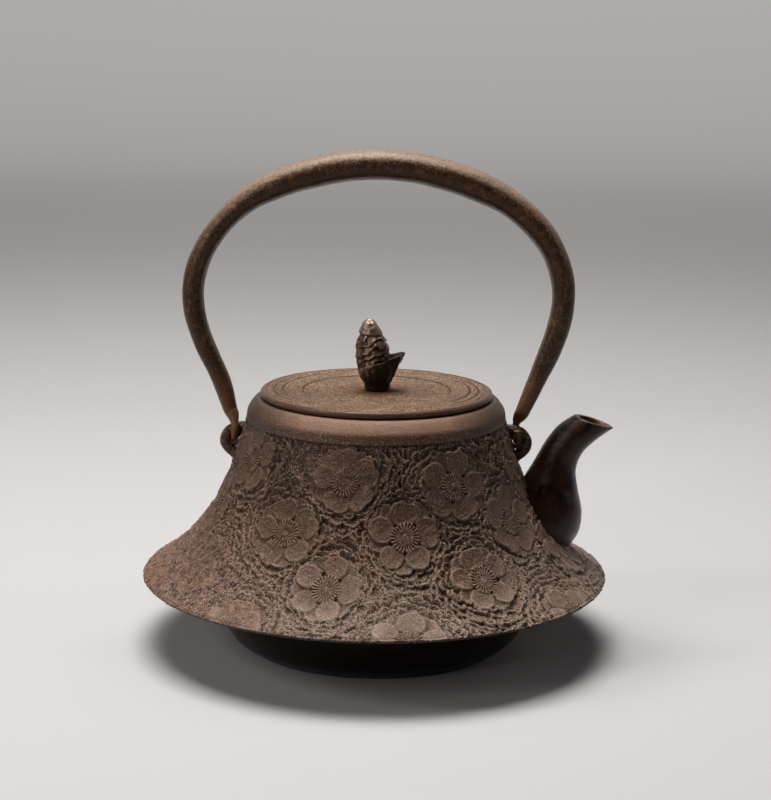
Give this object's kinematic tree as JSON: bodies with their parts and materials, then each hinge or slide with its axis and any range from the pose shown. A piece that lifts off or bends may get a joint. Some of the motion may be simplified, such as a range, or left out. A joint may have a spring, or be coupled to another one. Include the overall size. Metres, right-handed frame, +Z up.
{
  "type": "kettle",
  "caption": "Cast-iron kettle with a flared skirt, round pan, S-curved spout, flat loose lid with a bud knob, and a tall bail that swings on two lugs.",
  "frame": {"origin": "centre of the flat foot, on the surface that the kettle stands on", "axes": "+Z up along the body's axis, +X towards the spout, -Y the front"},
  "size_m": [0.2012, 0.2, 0.2115],
  "materials": {
    "cast_body": "brown lacquered cast iron with relief, semi-matte",
    "cast_smooth": "smooth near-black lacquered cast iron, satin",
    "cast_lid": "grainy warm brown cast iron, matte",
    "bronze": "dark patinated bronze, satin",
    "forged": "forged iron with brown lacquer, satin"
  },
  "bodies": {
    "kettle": {"body_shell": "cast_body", "base_pan": "cast_smooth", "spout": "cast_smooth", "lug_left": "cast_body", "lug_right": "cast_body"},
    "bail": {"bail": "forged", "bail_hook_left": "forged", "bail_hook_right": "forged"},
    "lid": {"lid": "cast_lid"},
    "knob": {"knob": "bronze", "knob_rivet": "bronze", "knob_washer": "forged"}
  },
  "joints": [
    {"name": "bail_swing", "type": "hinge", "parent": "kettle", "child": "bail", "pos_m": [0, 0, 0.0926], "axis": [1, 0, 0], "range_deg": [-112, 112]},
    {"name": "lid_lift", "type": "slide", "parent": "kettle", "child": "lid", "axis": [0, 0, 1], "range_m": [0, 0.045]},
    {"name": "knob_turn", "type": "hinge", "parent": "lid", "child": "knob", "pos_m": [0, 0, 0.11], "axis": [0, 0, 1], "continuous": true}
  ]
}
